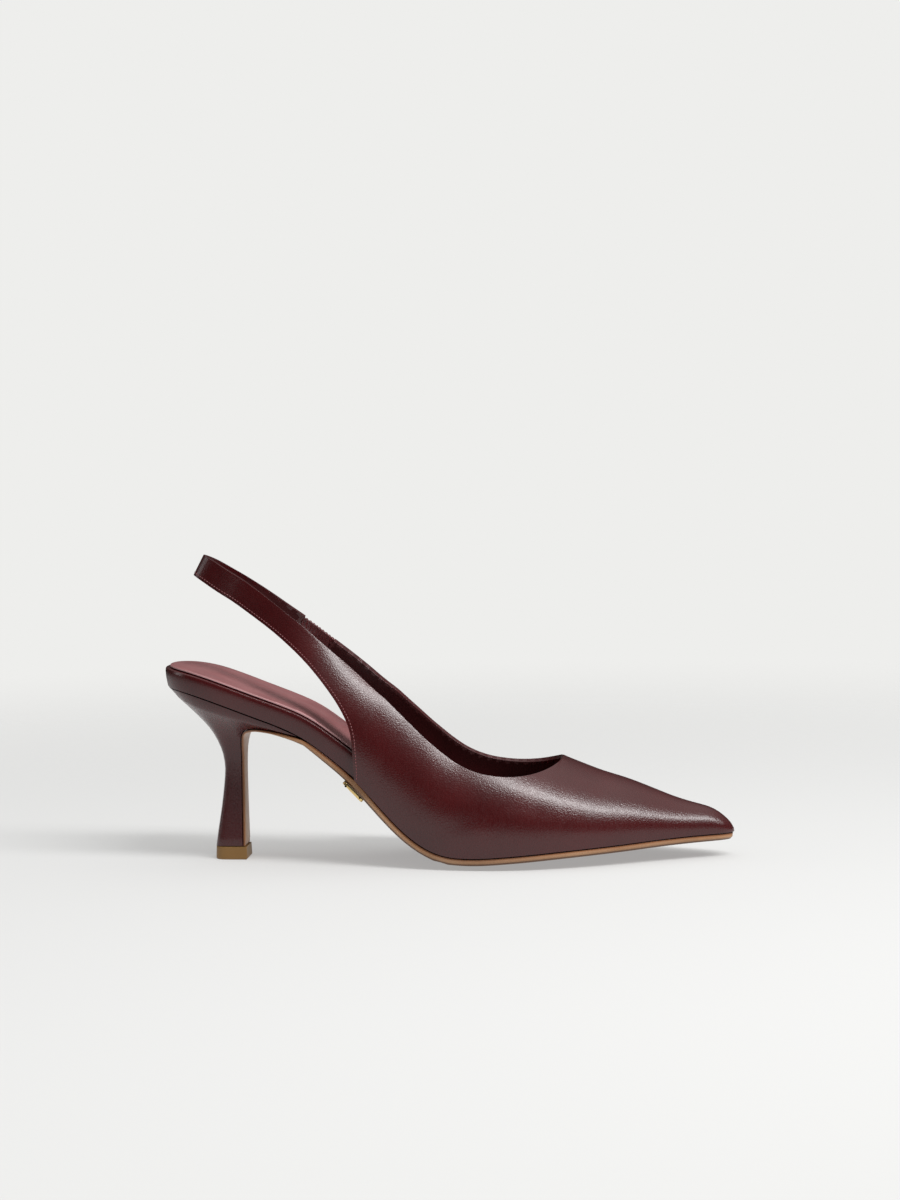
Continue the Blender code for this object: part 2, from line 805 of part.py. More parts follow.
def heel_ring(back, front, half_width, power, height_at, edge=None):
    """A closed ring: round the back, straight along the sides, square across the breast."""
    sides = []
    for k in range(1, HEEL_SIDE_STEPS + 1):
        t = 1 - math.cos(k / HEEL_SIDE_STEPS * math.pi / 2)
        x = mixed(back, front, t)
        half = half_width * max(0.0, 1 - (1 - min(1.0, t * 2)) ** power) ** (1 / power)
        sides.append((x, half))
    ring = [(back, 0.0)]
    ring += [(x, edge(x, OUTER) if edge else -half) for x, half in sides]
    corners = (ring[-1][1], edge(front, INNER) if edge else half_width)
    for k in range(1, HEEL_FRONT_STEPS):
        ring.append((front, mixed(*corners, k / HEEL_FRONT_STEPS)))
    ring += [(x, edge(x, INNER) if edge else half) for x, half in reversed(sides)]
    return [Vector((x, y, height_at(x))) for x, y in ring]


def seat_edge(x, side):
    """Y of the heel's upper edge, just inside the rand above it."""
    return board_edge(max(x, HEEL_COVER_INSET), side, RAND_TUCK + HEEL_COVER_INSET)


def heel_rings():
    """The rings of the heel from its top piece to the seat."""
    rings = []
    count = len(HEEL_RINGS)
    for n in range((count - 1) * 2 + 1):
        back, low, front, high, half, power = through(HEEL_RINGS, n / 2)
        back, front = back * LENGTH, front * LENGTH
        low, high = low * HEEL_HEIGHT, high * HEEL_HEIGHT

        def height_at(x, back=back, front=front, low=low, high=high):
            return mixed(low, high, (x - back) / (front - back))

        rings.append(heel_ring(back, front, half * HEEL_WIDTH, power, height_at))
    start = RAND_TUCK + HEEL_COVER_INSET
    rings.append(
        heel_ring(start, HEEL_FRONT_X, 0.0, 2.0, lambda x: bottom(x) - CLEARANCE, edge=seat_edge)
    )
    return rings


def make_heel(parent):
    """The covered heel: a wedge under the seat that runs down into a flared column."""
    bm = bmesh.new()
    loops = [[bm.verts.new(point) for point in ring] for ring in heel_rings()]
    for lower, upper in zip(loops, loops[1:]):
        for i in range(len(lower)):
            j = (i + 1) % len(lower)
            bm.faces.new((lower[i], lower[j], upper[j], upper[i]))
    bm.faces.new(loops[0])
    top = loops[-1]
    steps = HEEL_SIDE_STEPS
    bm.faces.new((top[0], top[1], top[-1]))
    for k in range(1, steps):
        bm.faces.new((top[k], top[k + 1], top[-k - 1], top[-k]))
    bm.faces.new(top[steps : steps + HEEL_FRONT_STEPS + 1])
    return new_object("heel", mesh_from(bm, "heel"), "burgundy_leather", parent)


def make_top_piece(parent):
    """The wearing piece under the heel, which reaches forward under the sole's breast end."""
    back, low, front, _, half, power = HEEL_RINGS[0]
    back = back * LENGTH - TOP_PIECE_LIP
    front = front * LENGTH + CLEARANCE + BREAST_THICKNESS + TOP_PIECE_LIP
    half = half * HEEL_WIDTH + TOP_PIECE_LIP
    top = low * HEEL_HEIGHT - CLEARANCE
    bm = bmesh.new()
    loops = []
    for inset, share in ((TOP_PIECE_ROUND, 0.0), (0.0, 0.08), (TOP_PIECE_ROUND / 2, 1.0)):
        ring = heel_ring(
            back + inset, front - inset, half - inset, power, lambda x, z=top * share: z
        )
        loops.append([bm.verts.new(point) for point in ring])
    for lower, upper in zip(loops, loops[1:]):
        for i in range(len(lower)):
            j = (i + 1) % len(lower)
            bm.faces.new((lower[i], lower[j], upper[j], upper[i]))
    bm.faces.new(loops[0])
    bm.faces.new(loops[-1])
    return new_object("top_piece", mesh_from(bm, "top_piece"), "top_piece_rubber", parent)


# Outsole


def sole_edge(x, side):
    """Y of the edge of the outsole: under the upper in front, under the rand behind it."""
    under_rand = 1 - eased(QUARTER_X - EDGE_STEP_BEHIND, QUARTER_X + EDGE_STEP_AHEAD, x)
    inset = mixed(SOLE_INSET, WALL + CLEARANCE + RAND_TUCK, under_rand)
    return swing(x) + side * max(feather(x, side) - inset, 0.0)


def shank_thickness(x):
    """Thickness of the outsole from the waist, where it is full, to the heel breast."""
    return mixed(BREAST_THICKNESS, WAIST_THICKNESS, eased(0.17 * LENGTH, 0.32 * LENGTH, x))


def sole_rows():
    """Rows down the outsole: (upper face x, z, outer y, inner y, thickness)."""
    rows = []
    tip = LENGTH - SOLE_INSET
    start = HEEL_FRONT_X + WAIST_THICKNESS
    waist_to_toe = [start] + [x for x in stations() if x > start + ROW_STEP / 3]
    for x in reversed(waist_to_toe + crowded(TOE_START * LENGTH, tip, TOE_STEPS)[1:]):
        waist = 1 - eased(0.36 * LENGTH, 0.48 * LENGTH, x)
        thick = min(mixed(SOLE_THICKNESS, WAIST_THICKNESS, waist), shank_thickness(x))
        rows.append((x, None, sole_edge(x, OUTER), sole_edge(x, INNER), thick))
    count = (len(HEEL_RINGS) - 1) * 2
    for n in reversed(range(count + 1)):
        _, _, front, high, half, _ = through(HEEL_RINGS, n / 2)
        half = half * HEEL_WIDTH
        front = front * LENGTH
        rows.append((front, high * HEEL_HEIGHT, -half, half, shank_thickness(front)))
    middle = (rows[0][2] + rows[0][3]) / 2
    rows[0] = (tip, None, middle, middle, SOLE_THICKNESS * 0.8)
    return rows


def make_outsole(parent):
    """One leather sole from the toe over the ball, the waist and down the heel breast."""
    rows = sole_rows()
    spots = [Vector((x, bottom(x) if z is None else z)) for x, z, *_ in rows]
    along = [0.0]
    for one, two in zip(spots, spots[1:]):
        along.append(along[-1] + (two - one).length)

    def place(s, y, depth):
        i = 0
        while i < len(along) - 2 and s > along[i + 1]:
            i += 1
        f = (s - along[i]) / (along[i + 1] - along[i])
        spot = spots[i].lerp(spots[i + 1], f)
        thick = mixed(rows[i][4], rows[i + 1][4], f)
        back = spots[max(i - 1, 0)] if f < 0.5 else spots[i]
        ahead = spots[i + 1] if f < 0.5 else spots[min(i + 2, len(spots) - 1)]
        run = (ahead - back).normalized()
        down = Vector((-run.y, run.x))
        on_heel = rows[i if f < 0.5 else i + 1][1] is not None
        lift = 0.0 if on_heel else bottom(spot.x, y) - bottom(spot.x)
        off = CLEARANCE if on_heel else 0.0
        x = spot.x + down.x * (thick * depth + off)
        return Vector((x, y, spot.y + lift + down.y * (thick * depth + off)))

    outline = [(s, row[2], row[3]) for s, row in zip(along, rows)]
    levels = ((0.0, 0.0), (0.0, 0.6), (SOLE_BEVEL, 1.0))
    return slab("outsole", outline, levels, place, "tan_sole_leather", parent)


def make_plate(parent):
    """A plain metal plate under the outer side of the waist."""
    step = PLATE_LENGTH / 4
    slope = math.atan((bottom(PLATE_X + step) - bottom(PLATE_X - step)) / (2 * step))
    bm = bmesh.new()
    bmesh.ops.create_cube(bm, size=1.0)
    bmesh.ops.scale(bm, verts=bm.verts, vec=(PLATE_LENGTH, PLATE_WIDTH, PLATE_THICKNESS))
    upright = [e for e in bm.edges if abs(e.verts[0].co.z - e.verts[1].co.z) > PLATE_THICKNESS / 2]
    bmesh.ops.bevel(
        bm, geom=upright, offset=PLATE_WIDTH * 0.3, segments=4, profile=0.5, affect="EDGES", material=-1
    )
    plate = new_object("waist_plate", mesh_from(bm, "waist_plate"), "gold_metal", parent)
    middle = swing(PLATE_X) + sole_edge(PLATE_X, OUTER) + PLATE_FROM_EDGE
    down = WAIST_THICKNESS + 2 * CLEARANCE + PLATE_THICKNESS / 2
    plate.location = (
        PLATE_X + down * math.sin(slope),
        middle,
        bottom(PLATE_X) - down * math.cos(slope),
    )
    plate.rotation_euler = (0.0, -slope, 0.0)
    return plate


def centre_on(parent, objects):
    """Moves the whole shoe so that the origin is on the floor under the middle of its box."""
    corners = [v.co for obj in objects for v in obj.data.vertices if obj.location.length == 0]
    low_x, high_x = min(c.x for c in corners), max(c.x for c in corners)
    low_y, high_y = min(c.y for c in corners), max(c.y for c in corners)
    parent.location = (-(low_x + high_x) / 2, -(low_y + high_y) / 2, 0.0)


def main():
    clear_scene()
    shoe = bpy.data.objects.new("shoe", None)
    bpy.context.scene.collection.objects.link(shoe)
    makers = (
        make_outsole,
        make_heel,
        make_top_piece,
        make_board,
        make_insole,
        make_upper,
        make_elastic,
        make_plate,
    )
    centre_on(shoe, [make(shoe) for make in makers])


main()
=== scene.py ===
import math

import bmesh
import bpy
from mathutils import Matrix, Vector, noise
from mathutils.bvhtree import BVHTree
from mathutils.kdtree import KDTree


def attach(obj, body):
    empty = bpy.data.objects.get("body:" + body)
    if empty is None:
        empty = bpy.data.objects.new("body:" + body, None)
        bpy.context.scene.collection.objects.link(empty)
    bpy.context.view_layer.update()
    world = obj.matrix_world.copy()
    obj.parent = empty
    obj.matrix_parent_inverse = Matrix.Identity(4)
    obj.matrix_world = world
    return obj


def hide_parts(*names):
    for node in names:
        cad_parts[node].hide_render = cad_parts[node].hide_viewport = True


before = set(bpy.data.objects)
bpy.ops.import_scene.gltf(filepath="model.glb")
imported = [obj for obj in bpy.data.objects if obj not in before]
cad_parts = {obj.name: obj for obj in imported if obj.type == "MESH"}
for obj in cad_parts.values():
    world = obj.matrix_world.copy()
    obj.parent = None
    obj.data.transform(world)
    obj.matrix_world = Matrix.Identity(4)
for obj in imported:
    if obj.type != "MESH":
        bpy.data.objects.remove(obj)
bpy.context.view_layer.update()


# Camera. A short telephoto at the outer side of the shoe, five degrees towards
# the toe and a little above it, held a shade off level as in the photo.
LENS_MM, SENSOR_MM = 77.2, 36.0
CAMERA_PLACE = (0.1004, -1.1299, 0.195)
CAMERA_TURN, CAMERA_PITCH, CAMERA_ROLL = math.radians(5.0), math.radians(4.05), math.radians(-0.8)

camera = bpy.data.objects.new("camera", bpy.data.cameras.new("camera"))
bpy.context.scene.collection.objects.link(camera)
camera.data.lens = LENS_MM
camera.data.sensor_width = SENSOR_MM
camera.data.clip_start, camera.data.clip_end = 0.05, 50.0
camera.matrix_world = (
    Matrix.Translation(CAMERA_PLACE)
    @ Matrix.Rotation(CAMERA_TURN, 4, "Z")
    @ Matrix.Rotation(math.radians(90.0) - CAMERA_PITCH, 4, "X")
    @ Matrix.Rotation(CAMERA_ROLL, 4, "Z")
)
bpy.context.scene.camera = camera


# Upper. Smooth burgundy calf over a calf lining, lasted over the board. Its
# edges are folded over and glued, so every edge of the wall is a small round.
FOLD_ROUND = 0.0008
LINING_FROM_EDGE = 0.0016
SHARP_EDGE = math.radians(42.0)
CORNER_STEPS = 2
SAME_POINT = 2e-5
FLAT_PAIR, SQUARE_PAIR = math.radians(35.0), math.radians(60.0)
CALF_CLOUD, CALF_PORE, CALF_BOARDING = 0.021, 0.00062, 0.0011
BOARDING_WAY = (0.3, math.radians(38.0), 0.2)
CALF_COLOURS = ("#400c0e", "#450e10", "#4b1113")
INSIDE_LINE = (
    (0.115, 0.0, 0.014), (0.080, 0.0, 0.020), (0.010, 0.0, 0.030), (-0.030, 0.0, 0.062),
    (-0.062, 0.0, 0.090), (-0.094, 0.0, 0.112),
)


def linear(hex_colour):
    """An sRGB hex colour as the linear values that a shader takes."""
    parts = [int(hex_colour[i:i + 2], 16) / 255 for i in (1, 3, 5)]
    return [p / 12.92 if p <= 0.04045 else ((p + 0.055) / 1.055) ** 2.4 for p in parts] + [1.0]


def add(tree, kind, settings=None, links=None):
    """One node with its settings, and links from a socket or to a value by input name or number."""
    made = tree.nodes.new(kind)
    for name, value in (settings or {}).items():
        setattr(made, name, value)
    for name, value in (links or {}).items():
        if isinstance(value, bpy.types.NodeSocket):
            tree.links.new(value, made.inputs[name])
        else:
            made.inputs[name].default_value = value
    return made


def new_material(name):
    """A material with one Principled shader, its node tree and its Object coordinates."""
    material = bpy.data.materials.new(name)
    material.use_nodes = True
    tree = material.node_tree
    place = add(tree, "ShaderNodeTexCoord").outputs["Object"]
    return material, tree, tree.nodes["Principled BSDF"], place


def plain_material(name, colour, roughness, metallic=0.0):
    """A material of one even colour."""
    material, _, shader, _ = new_material(name)
    shader.inputs["Base Color"].default_value = linear(colour)
    shader.inputs["Roughness"].default_value = roughness
    shader.inputs["Metallic"].default_value = metallic
    return material


def ramp(tree, value, stops):
    """A colour ramp through (position, hex colour) stops."""
    made = add(tree, "ShaderNodeValToRGB", links={"Fac": value})
    elements = made.color_ramp.elements
    while len(elements) < len(stops):
        elements.new(0.5)
    for element, (position, colour) in zip(elements, stops):
        element.position = position
        element.color = linear(colour)
    return made.outputs["Color"]


def smooth_calf(name, colours, roughness=0.27, grain=1.0, coat=0.30, gloss=0.45):
    """Aniline calf, boarded very lightly: fine pores about 0.6 mm apart under a thin wax finish.

    The eye gets a deep even colour, and a soft light that breaks up into grain where it is bright."""
    material, tree, shader, place = new_material(name)
    cloud = add(tree, "ShaderNodeTexNoise", links={
        "Vector": place, "Scale": 1 / CALF_CLOUD, "Detail": 4.0, "Roughness": 0.55,
    })
    colour = ramp(tree, cloud.outputs["Fac"], tuple(zip((0.30, 0.52, 0.74), colours)))
    tree.links.new(colour, shader.inputs["Base Color"])
    pores = add(tree, "ShaderNodeTexVoronoi", links={
        "Vector": place, "Scale": 1 / CALF_PORE, "Randomness": 1.0,
    })
    turned = add(tree, "ShaderNodeMapping", links={
        "Vector": place, "Rotation": BOARDING_WAY, "Scale": (1.0, 1.0, 0.34),
    })
    boarding = add(tree, "ShaderNodeTexNoise", links={
        "Vector": turned.outputs["Vector"], "Scale": 1 / CALF_BOARDING, "Detail": 3.0, "Roughness": 0.6,
    })
    both = add(tree, "ShaderNodeMix", {"data_type": "FLOAT"}, {
        "Factor": 0.45, "A": pores.outputs["Distance"], "B": boarding.outputs["Fac"],
    })
    bump = add(tree, "ShaderNodeBump", links={
        "Height": both.outputs["Result"], "Strength": 0.34 * grain, "Distance": 0.0004,
    })
    tree.links.new(bump.outputs["Normal"], shader.inputs["Normal"])
    sheen = add(tree, "ShaderNodeMapRange", links={
        "Value": boarding.outputs["Fac"], "From Min": 0.3, "From Max": 0.7,
        "To Min": roughness - 0.05, "To Max": roughness + 0.06,
    })
    tree.links.new(sheen.outputs["Result"], shader.inputs["Roughness"])
    shader.inputs["Specular IOR Level"].default_value = gloss
    shader.inputs["Coat Weight"].default_value = coat
    shader.inputs["Coat Roughness"].default_value = 0.20
    return material


def corner_edges(shape):
    return [e for e in shape.edges if len(e.link_faces) == 2 and e.calc_face_angle(0.0) > SHARP_EDGE]


def merged_copy(node):
    """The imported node's mesh with its points merged and its triangles joined in pairs."""
    shape = bmesh.new()
    shape.from_mesh(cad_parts[node].data)
    bmesh.ops.remove_doubles(shape, verts=shape.verts, dist=SAME_POINT)
    bmesh.ops.join_triangles(
        shape, faces=shape.faces, angle_face_threshold=FLAT_PAIR, angle_shape_threshold=SQUARE_PAIR
    )
    return shape


def new_piece(name, shape):
    """An object of its own that takes over this bmesh."""
    piece = bpy.data.objects.new(name, bpy.data.meshes.new(name))
    shape.to_mesh(piece.data)
    shape.free()
    bpy.context.scene.collection.objects.link(piece)
    return piece


def soft_copy(node, name, corner, levels=2):
    """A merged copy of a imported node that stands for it, with rounded corners and smooth faces.

    Also gives the copy's corner lines before rounding, as pairs of points."""
    shape = merged_copy(node)
    corners = corner_edges(shape)
    lines = [tuple(v.co.copy() for v in e.verts) for e in corners]
    bmesh.ops.bevel(
        shape, geom=corners, offset=corner, offset_type="OFFSET", segments=CORNER_STEPS, profile=0.5,
        affect="EDGES", clamp_overlap=True, material=-1,
    )
    for layer in list(shape.loops.layers.float_vector.values()):
        shape.loops.layers.float_vector.remove(layer)
    piece = new_piece(name, shape)
    for extra in [a.name for a in piece.data.attributes if a.name.startswith("custom_normal")]:
        piece.data.attributes.remove(piece.data.attributes[extra])
    if levels:
        smoother = piece.modifiers.new("smoother", "SUBSURF")
        smoother.levels = smoother.render_levels = levels
        evaluated = piece.evaluated_get(bpy.context.evaluated_depsgraph_get())
        made_smooth = bpy.data.meshes.new_from_object(evaluated)
        piece.modifiers.clear()
        piece.data = made_smooth
        piece.data.name = name
    piece.data.materials.clear()
    for face in piece.data.polygons:
        face.use_smooth = True
        face.material_index = 0
    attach(piece, "root")
    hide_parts(node)
    return piece, lines


# Calf outside, and its plainer and duller lining inside
calf = smooth_calf("burgundy_calf", CALF_COLOURS)
LINING_COLOURS = ("#350a0c", "#3e0e10", "#471315")
lining = smooth_calf("burgundy_calf_lining", LINING_COLOURS, roughness=0.5, grain=0.7, coat=0.0, gloss=0.25)

upper, upper_corners = soft_copy("upper", "lasted_upper", FOLD_ROUND)
upper.data.materials.append(calf)
upper.data.materials.append(lining)


def inside_point(point):
    """The nearest point of the line through the middle of the foot's room."""
    best = None
    for a, b in zip(INSIDE_LINE, INSIDE_LINE[1:]):
        a, b = Vector(a), Vector(b)
        share = max(0.0, min(1.0, (point - a).dot(b - a) / (b - a).length_squared))
        near = a + (b - a) * share
        if best is None or (point - near).length < (point - best).length:
            best = near
    return best


rim = KDTree(len(upper_corners))
for i, (a, b) in enumerate(upper_corners):
    rim.insert((a + b) / 2, i)
rim.balance()

# Soft troughs that the last leaves in the calf as it dries
TROUGHS = (
    # middle, run, half length, half width, depth
    ((0.012, -0.036, 0.022), (1.0, 0.0, 0.35), 0.020, 0.0040, 0.00016),
    ((0.040, -0.036, 0.026), (1.0, 0.0, -0.25), 0.018, 0.0035, 0.00013),
    ((-0.022, -0.036, 0.052), (0.5, 0.0, 1.0), 0.014, 0.0035, 0.00015),
    ((0.020, 0.036, 0.024), (1.0, 0.0, -0.20), 0.020, 0.0040, 0.00016),
    ((-0.020, 0.034, 0.050), (0.5, 0.0, 1.0), 0.014, 0.0035, 0.00014),
)
normals = [v.normal.copy() for v in upper.data.vertices]
sunk = {}
for middle, run, half_length, half_width, depth in TROUGHS:
    middle, run = Vector(middle), Vector(run).normalized()
    sideways = run.cross(Vector((0.0, 1.0, 0.0)))
    for vert in upper.data.vertices:
        away = vert.co - middle
        if abs(away.x) > 3 * half_length or abs(away.y) > 0.02 or normals[vert.index].y * middle.y < 0:
            continue
        along, across = away.dot(run) / half_length, away.dot(sideways) / half_width
        if abs(across) < 3:
            sunk[vert.index] = sunk.get(vert.index, 0.0) + depth * math.exp(-along * along - across * across)
for i, depth in sunk.items():
    upper.data.vertices[i].co -= normals[i] * depth
for face in upper.data.polygons:
    outward = face.normal.dot(face.center - inside_point(face.center)) > 0
    from_rim = rim.find(face.center)[2]
    face.material_index = 0 if outward or from_rim < LINING_FROM_EDGE else 1


# Stitching. One row of burgundy thread, a stitch every 1.4 mm, holds the folded
# edge down along the strap and the rear edge of both quarters, and sinks half into the calf.
STITCH_PITCH, STITCH_LENGTH, THREAD_RADIUS, STITCH_FROM_EDGE = 0.0014, 0.00108, 0.00024, 0.0013
QUARTER_REAR_X, STRAP_END_TURN = -0.0386, math.radians(50.0)
SHORTEST_ROW, ROW_STARTS_BELOW = 0.015, 0.060
FACES_OUT, STITCH_PROBE = 0.55, 0.0003

shape = merged_copy("upper")
edge_of, wall_of = {}, {}
for edge in corner_edges(shape):
    middle = (edge.verts[0].co + edge.verts[1].co) / 2
    away = (middle - inside_point(middle)) * Vector((1.0, 1.0, 0.0))
    wall = max(edge.link_faces, key=lambda f: f.normal.dot(away))
    if middle.x < QUARTER_REAR_X and wall.normal.dot(away.normalized()) > FACES_OUT:
        wall_of[edge] = (wall.normal.copy(), wall.calc_center_median() - middle)
        for vert in edge.verts:
            edge_of.setdefault(vert, []).append(edge)


def row_of_edges(first, edge):
    """(from, to, wall normal, way into the wall) along a corner line, up to its next end."""
    found, here = [], first
    while edge is not None:
        ahead = edge.other_vert(here)
        found.append((here.co.copy(), ahead.co.copy(), *wall_of[edge]))
        following = [e for e in edge_of.get(ahead, ()) if e is not edge]
        run = ahead.co - here.co
        edge_of[here].remove(edge)
        edge_of[ahead].remove(edge)
        here, edge = ahead, following[0] if len(following) == 1 else None
        if edge is not None and run.angle(edge.other_vert(here).co - here.co) > STRAP_END_TURN:
            edge = None
    return found


def turn_at(vert, edges):
    """How far the line turns at a point between two of its edges."""
    before, after = (edge.other_vert(vert).co for edge in edges)
    return (before - vert.co).angle(vert.co - after)


rows = []
ends = [v for v, edges in edge_of.items() if len(edges) == 1]
ends += [v for v, edges in edge_of.items() if len(edges) == 2 and turn_at(v, edges) > STRAP_END_TURN]
for end in sorted(ends, key=lambda v: tuple(v.co)):
    while edge_of[end]:
        rows.append(row_of_edges(end, edge_of[end][0]))
rows = [
    r for r in rows
    if min(e[1].z for e in r) < ROW_STARTS_BELOW and sum((e[1] - e[0]).length for e in r) > SHORTEST_ROW
]
shape.free()



def faces_of(mesh):
    return BVHTree.FromPolygons([v.co for v in mesh.vertices], [f.vertices for f in mesh.polygons])


leather_faces = faces_of(upper.data)
stitch_size = Matrix.Diagonal((STITCH_LENGTH / 2, THREAD_RADIUS, THREAD_RADIUS, 1.0))
lying = Matrix.Rotation(math.pi / 2, 4, "Y")
thread = bmesh.new()
for row in rows:
    step = STITCH_PITCH
    for a, b, outward, inwards in row:
        run = b - a
        while step < run.length:
            edge_point = a + run.normalized() * step
            step += STITCH_PITCH
            across = (inwards - run * inwards.dot(run) / run.length_squared).normalized()
            above = edge_point + across * STITCH_FROM_EDGE + outward * STITCH_PROBE
            spot, normal, _, _ = leather_faces.find_nearest(above)
            along = (run - normal * run.dot(normal)).normalized()
            turn = Matrix((along, normal.cross(along), normal)).transposed().to_4x4()
            placed = Matrix.Translation(spot) @ turn @ stitch_size @ lying
            bmesh.ops.create_uvsphere(thread, u_segments=8, v_segments=5, radius=1.0, matrix=placed)
        step -= run.length
stitches = new_piece("edge_stitches", thread)
stitches.data.shade_smooth()
# Waxed polyester thread: a tight twist that shines a little, so each stitch has a small light
waxed, tree, shader, place = new_material("waxed_polyester_thread")
shader.inputs["Base Color"].default_value = linear("#7d4648")
shader.inputs["Roughness"].default_value = 0.38
twist = add(tree, "ShaderNodeTexNoise", links={"Vector": place, "Scale": 1 / 0.0004, "Detail": 2.0})
bump = add(tree, "ShaderNodeBump", links={
    "Height": twist.outputs["Fac"], "Strength": 0.4, "Distance": 0.0001,
})
tree.links.new(bump.outputs["Normal"], shader.inputs["Normal"])
stitches.data.materials.append(waxed)
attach(stitches, "root")


# Elastic. A short length of covered elastic let into the inner side of the
# sling, drawn up so that its cover stands in fine gathers.
ELASTIC_ROUND, GATHER_PITCH, GATHER_HEIGHT, TUCKED_IN = 0.0003, 0.0015, 0.00028, 0.0007
END_FADE, END_SHARE = 0.0006, 12
elastic, _ = soft_copy("elastic", "gathered_elastic", ELASTIC_ROUND, levels=4)
ends = sorted(elastic.data.vertices, key=lambda v: v.co.x)
few = len(ends) // END_SHARE
back_end = sum((v.co for v in ends[:few]), Vector()) / few
front_end = sum((v.co for v in ends[-few:]), Vector()) / few
along, middle = (front_end - back_end).normalized(), (front_end + back_end) / 2
half = (front_end - back_end).length / 2
normals = [v.normal.copy() for v in elastic.data.vertices]
for vert, normal in zip(elastic.data.vertices, normals):
    reach = (vert.co - middle).dot(along)
    wander = noise.noise(vert.co * 190.0) * 1.3 + noise.noise(vert.co * 520.0) * 0.5
    fold = math.sin(2 * math.pi * reach / GATHER_PITCH + wander * 2.2)
    height = GATHER_HEIGHT * (0.65 + 0.5 * noise.noise(vert.co * 330.0 + Vector((5.0, 0.0, 0.0))))
    is_side = abs(normal.dot(along)) < 0.5
    faces_out = min(1.0, max(0.0, (half - abs(reach)) / END_FADE)) if is_side else 0.0
    vert.co += normal * fold * height * faces_out + along * reach / half * TUCKED_IN
# Thin glove leather with a glazed finish, so that each gather carries its own small light
GLOVE_COLOURS = ("#4a1518", "#561a1d", "#672326")
glove = smooth_calf("gathered_glove_leather", GLOVE_COLOURS, roughness=0.26, grain=0.5, gloss=0.8)
elastic.data.materials.append(glove)


# Board and rand. The insole board is covered in the same calf, and behind the
# quarters its thick rounded edge shows as a band on top of the heel.
RAND_ROUND = 0.0004
rand, _ = soft_copy("insole_board", "covered_rand", RAND_ROUND, levels=1)
# The same calf pulled tight over the board's edge, which flattens its grain: the light stays in one line
rand.data.materials.append(smooth_calf("tightened_burgundy_calf", CALF_COLOURS, grain=0.35))


# Sock. Lining leather laid on the board and stuck down, a few tenths
# of a millimetre inside the covered edge. Its rose colour is partly its own and partly painted sheen.
SOCK_ROUND, STREAK_PITCH, GREYED_STREAK = 0.0003, 0.0022, "#8f7c7c"
EDGE_FACE, EDGE_REACH, EDGE_TILT = 4e-6, 0.0030, 0.93
# Rose base colours: the lining leather's own colour, lightened as painted sheen
ROSE_WITH_PAINTED_SHEEN_COLOURS = ("#875355", "#935d5e", "#9f696a")
sock, sock_corners = soft_copy("insole", "lining_sock", SOCK_ROUND, levels=1)
# Pigmented lining pigskin: matte and even, with faint streaks drawn out along the foot. Its base is
# lightened past the leather's own colour as painted sheen
rose = smooth_calf("lining_leather_with_painted_sheen", ROSE_WITH_PAINTED_SHEEN_COLOURS, roughness=0.46, grain=0.8, coat=0.0, gloss=0.4)
tree = rose.node_tree
shader = tree.nodes["Principled BSDF"]
place = add(tree, "ShaderNodeTexCoord").outputs["Object"]
drawn = add(tree, "ShaderNodeMapping", links={"Vector": place, "Scale": (0.10, 1.0, 0.5)})
streak = add(tree, "ShaderNodeTexNoise", links={
    "Vector": drawn.outputs["Vector"], "Scale": 1 / STREAK_PITCH, "Detail": 3.0,
})
greyed = add(tree, "ShaderNodeMix", {"data_type": "RGBA", "blend_type": "MIX"})
share = add(tree, "ShaderNodeMapRange", links={
    "Value": streak.outputs["Fac"], "From Min": 0.42, "From Max": 0.68, "To Min": 0.0, "To Max": 0.25,
})
tree.links.new(share.outputs["Result"], greyed.inputs["Factor"])
tree.links.new(shader.inputs["Base Color"].links[0].from_socket, greyed.inputs["A"])
greyed.inputs["B"].default_value = linear(GREYED_STREAK)
tree.links.new(greyed.outputs["Result"], shader.inputs["Base Color"])
sock.data.materials.append(rose)
# The skived edge is raw and pale
sock.data.materials.append(plain_material("skived_leather_edge", "#b88a8b", roughness=0.6))
sock_rim = KDTree(len(sock_corners))
for i, (a, b) in enumerate(sock_corners):
    sock_rim.insert((a + b) / 2, i)
sock_rim.balance()
for face in sock.data.polygons:
    near_edge = sock_rim.find(face.center)[2] < EDGE_REACH
    face.material_index = int(face.area < EDGE_FACE and near_edge and abs(face.normal.z) < EDGE_TILT)


# Outsole. Natural tan sole leather, cut in one piece that runs on down the
# front of the heel, its edge trimmed and waxed.
SOLE_ROUND, EDGE_TOP, EDGE_FOOT = 0.0003, 0.0002, 0.0032
BEND_COLOURS = ("#a98564", "#b69274", "#c3a284")
# Tints by distance from the upper: the dark top stop is a thin line deepened with painted shadow of the
# joint, and the last stop darkens the foot of the edge and the tread
EDGE_TINTS = (
    # how far down the edge, tint
    (0.10, "#7a4e2b"), (0.24, "#d0a884"), (0.40, "#f2e2d2"), (0.74, "#f0dfce"), (0.86, "#93806f"),
)
sole, _ = soft_copy("outsole", "leather_sole", SOLE_ROUND, levels=1)
above = [faces_of(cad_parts[node].data) for node in ("upper", "insole_board", "heel")]
depth = sole.data.attributes.new("depth", "FLOAT", "POINT")
for vert in sole.data.vertices:
    depth.data[vert.index].value = min(faces.find_nearest(vert.co)[3] for faces in above)
# Vegetable tanned sole bend, waxed: warm tan. Its edge is darker at the top, a thin dark line deepened with
# painted shadow of the joint under the upper, and darker towards its foot and on the tread
bend = smooth_calf("natural_sole_bend", BEND_COLOURS, roughness=0.40, grain=0.5, coat=0.1)
tree = bend.node_tree
shader = tree.nodes["Principled BSDF"]
level = add(tree, "ShaderNodeAttribute", {"attribute_name": "depth"})
share = add(tree, "ShaderNodeMapRange", links={
    "Value": level.outputs["Fac"], "From Min": EDGE_TOP, "From Max": EDGE_FOOT,
})
tint = ramp(tree, share.outputs["Result"], EDGE_TINTS)
